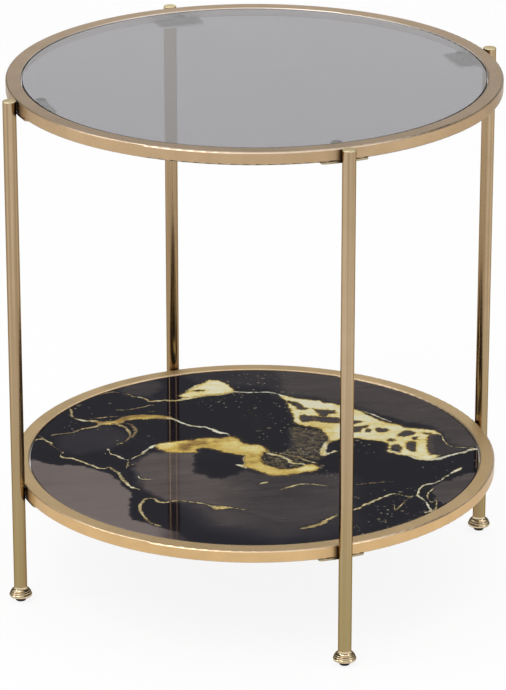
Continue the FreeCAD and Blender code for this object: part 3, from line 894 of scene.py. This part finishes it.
def stone_ground(nodes, levels, noises):
    """Black stone with streaky smoke, brown crumbs and gold flecks."""
    smoke = levels["smoke"]
    speckle = levels["speckle"]
    streak = nodes.sway(noises["streaks"], nodes.spread(smoke, 0.5, 0.85, 1.0, 0.15), 1.0)
    haze = nodes.times(nodes.sway(noises["clouds"], 0.22, smoke), streak)
    fine_level = nodes.times(smoke, nodes.spread(smoke, 0.5, 0.9, 0.55, 0.1))
    haze = nodes.sway(noises["fine_streaks"], fine_level, haze)
    ground = nodes.ramp(haze, stone_stops)
    crumbly = nodes.spread(noises["crumbs"], 0.42, 0.62)
    crumbly = nodes.times(crumbly, nodes.spread(speckle, 0.5, 1.0, 0.0, 0.8))
    ground = nodes.mix(crumbly, ground, colour(*crumb_brown))
    for scale, shade in fleck_kinds:
        cells = nodes.add("ShaderNodeTexVoronoi", {"Vector": nodes.place(), "Scale": scale})
        chance, girth, fade = nodes.parts(cells.outputs["Color"])
        kept = nodes.math("GREATER_THAN", chance, nodes.math("MULTIPLY_ADD", speckle, -0.36, 1.0))
        grain = nodes.sway(noises["fray"], 0.5, cells.outputs["Distance"])
        size = nodes.spread(girth, 0.0, 1.0, 0.12, 0.42)
        fleck = nodes.spread(nodes.math("SUBTRACT", size, grain), -0.05, 0.06)
        fleck = nodes.times(nodes.times(fleck, kept), nodes.spread(fade, 0.0, 1.0, 0.2, 0.9))
        fleck = nodes.times(fleck, nodes.spread(speckle, 0.0, 0.8, 0.45, 1.0))
        ground = nodes.mix(fleck, ground, colour(*shade))
    return ground


def vein_edge(nodes, levels, noises, thin):
    """How far inside a vein's ragged edge a place lies; broad veins are combed out, thin ones waver."""
    edge = nodes.sway(noises["fray"], nodes.spread(thin, 0.0, 1.0, 0.2, 1.5), levels["vein"])
    feather = nodes.times(nodes.spread(levels["side"], -0.3, 0.1, 1.3, 0.0), nodes.rest(thin))
    edge = nodes.sway(noises["comb"], feather, edge)
    edge = nodes.sway(noises["lace"], nodes.spread(thin, 0.0, 1.0, 0.3, 2.4), edge)
    return nodes.math("MULTIPLY_ADD", thin, -0.18, edge)


def gold_tone(nodes, levels, noises, thin, torn, area, threads):
    """Tone of the gold from brown, 0, to pale, 1, on the veins and in the fields."""
    tone = nodes.sway(noises["flow"], 1.3, levels["tone"])
    rim = nodes.spread(levels["vein"], 0.05, 0.45, 0.16, 0.0)
    tone = nodes.math("ADD", tone, nodes.times(rim, nodes.rest(thin)))
    sheen = nodes.sway(noises["streaks"], 0.85, levels["sheen"])
    sheen = nodes.sway(noises["clouds"], 0.4, sheen)
    sheen = nodes.math("ADD", sheen, nodes.spread(torn, 0.0, 0.3, -0.34, 0.04))
    sheen = nodes.math("ADD", sheen, nodes.spread(noises["mottle"], 0.52, 0.7, 0.0, -0.2))
    tone = nodes.mix(area, tone, sheen)
    return nodes.sway(noises["fray"], nodes.spread(threads, 0.0, 1.0, 0.35, 1.6), tone)


def marble_material():
    """Black and smoke-grey stone with gold veins, printed under polished glass."""
    nodes = Nodes("marble_print")
    levels = {}
    for name in ("vein", "tone", "along", "side", "girth", "field", "sheen", "smoke", "speckle"):
        levels[name] = nodes.add("ShaderNodeAttribute", attribute_name=name).outputs["Fac"]
    noises = print_noises(nodes, levels)
    thin = nodes.spread(levels["girth"], 0.2, 0.6, 1.0, 0.0)
    edge = vein_edge(nodes, levels, noises, thin)
    broken = nodes.times(thin, nodes.spread(noises["breaks"], 0.36, 0.56, 0.45, 0.0))
    line = nodes.times(nodes.spread(edge, -0.15, 0.4, smooth=True), nodes.rest(broken))
    torn = nodes.sway(noises["lace"], 0.7, levels["field"])
    torn = nodes.sway(noises["fray"], 0.45, torn)
    area = nodes.spread(torn, -0.06, 0.1, smooth=True)
    threads = nodes.times(thin, nodes.rest(area))

    tone = gold_tone(nodes, levels, noises, thin, torn, area, threads)
    shade = nodes.mix(threads, nodes.ramp(tone, gilt_stops), nodes.ramp(tone, thread_stops))
    ground = stone_ground(nodes, levels, noises)
    outline = nodes.times(thin, nodes.spread(edge, -1.4, -0.3, 0.0, 0.7))
    ground = nodes.mix(outline, ground, colour(*outline_black))
    fringe = nodes.spread(torn, -0.35, -0.02, 0.0, 0.8)
    fringe = nodes.times(fringe, nodes.spread(noises["crumbs"], 0.4, 0.6, 0.2, 1.0))
    ground = nodes.mix(fringe, ground, colour(*fringe_brown))
    gilded = nodes.mix(nodes.math("MAXIMUM", line, area), ground, shade)

    rim_dull = nodes.spread(plan_radius(nodes), panel_radius - panel_edge, panel_radius, 0.0, 0.35)
    rough = nodes.math("ADD", nodes.spread(noises["clouds"], 0.3, 0.7, 0.025, 0.06), rim_dull)
    gloss = nodes.spread(rim_dull, 0.0, 0.3, 0.5, 0.05)
    inputs = {"Base Color": gilded, "Roughness": rough, "IOR": 1.5, "Specular IOR Level": gloss}
    return nodes.principled(inputs)


def add_shelf_panel():
    """The shelf's glass with its print, in the place of the plain panel."""
    noise.seed_set(wave_seed)
    mesh = panel_mesh()
    places = np.empty(3 * len(mesh.vertices))
    mesh.vertices.foreach_get("co", places)
    plan = places.reshape(-1, 3)[:, :2]
    spots = warped(plan, line_waves)
    levels = vein_levels(spots)
    levels.update(field_levels(spots))
    levels["smoke"] = zone_level(warped(plan, smoke_waves), smoke_zones)
    levels["speckle"] = zone_level(spots, speckle_zones)
    for name, values in levels.items():
        mesh.attributes.new(name, "FLOAT", "POINT").data.foreach_set("value", values)
    mesh.materials.append(marble_material())
    piece = add_object("marble_shelf_panel", mesh)
    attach(piece, "shelf_panel")
    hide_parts("lower_glass")


set_camera()
add_floor()
set_world()
for name, (azimuth, *placing) in softboxes.items():
    add_softbox(name, view_azimuth + azimuth, *placing)

# Finishes by the record's slots, and those of nodes with certain words in their names
slot_finishes = {
    "gold_leg": gold(
        "gold_leg", leg_gold, 0.17, upright_place, edge_tint=(0.4, 0.3, 0.18),
        streak_level=0.75, foot_shade_level=0.9, inward_shade_level=0.75,
    ),
    "gold_tab": gold("gold_tab", tab_gold, 0.35, upright_place, inner_wall_light_level=1.0),
    "gold_foot": gold("gold_foot", foot_gold, 0.1, turned_place, edge_tint=(0.1, 0.08, 0.06)),
    "zinc_steel": zinc("zinc_steel", bright_zinc),
    "smoked_glass": smoked_glass("smoked_glass"),
    "clear_bumper": clear_rubber("clear_bumper"),
    "black_pad": black_rubber("black_pad"),
}
node_finishes = {
    # The rings: shaded and lit copies of one gold, with painted shade on the upper top and painted light on
    # the lower top
    "upper_ring": gold(
        "gold_ring_upper", upper_ring_shaded_gold, 0.46, hoop_place, coat=0.45,
        wear_and_highlight_level=0.5, painted_top_light=(0.84, 0.9, 1.05), inner_wall_light_level=1.0,
    ),
    "lower_ring": gold(
        "gold_ring_lower", lower_ring_lit_gold, 0.46, hoop_place, coat=0.45, edge_tint=(0.6, 0.55, 0.5),
        wear_and_highlight_level=0.5, painted_top_light=(1.1, 1.24, 1.5),
    ),
    "leg_cap": gold("gold_cap", cap_gold, 0.45, turned_place, edge_tint=(0.5, 0.45, 0.3)),
    # Rivet nuts in dark brown zinc, painted shade of the leg-ring joint
    "rivet_nuts": zinc("joint_shade_zinc", joint_shade_zinc),
}
for part in frame["record"]["subparts"]:
    mesh = frame["nodes"][part["node"]].data
    finish = slot_finishes.get(part["material_slot"])
    for words, special in node_finishes.items():
        finish = special if words in part["node"] else finish
    for number in range(len(mesh.materials)):
        mesh.materials[number] = finish

add_shelf_panel()

scene = bpy.context.scene
scene.view_settings.view_transform = "Standard"
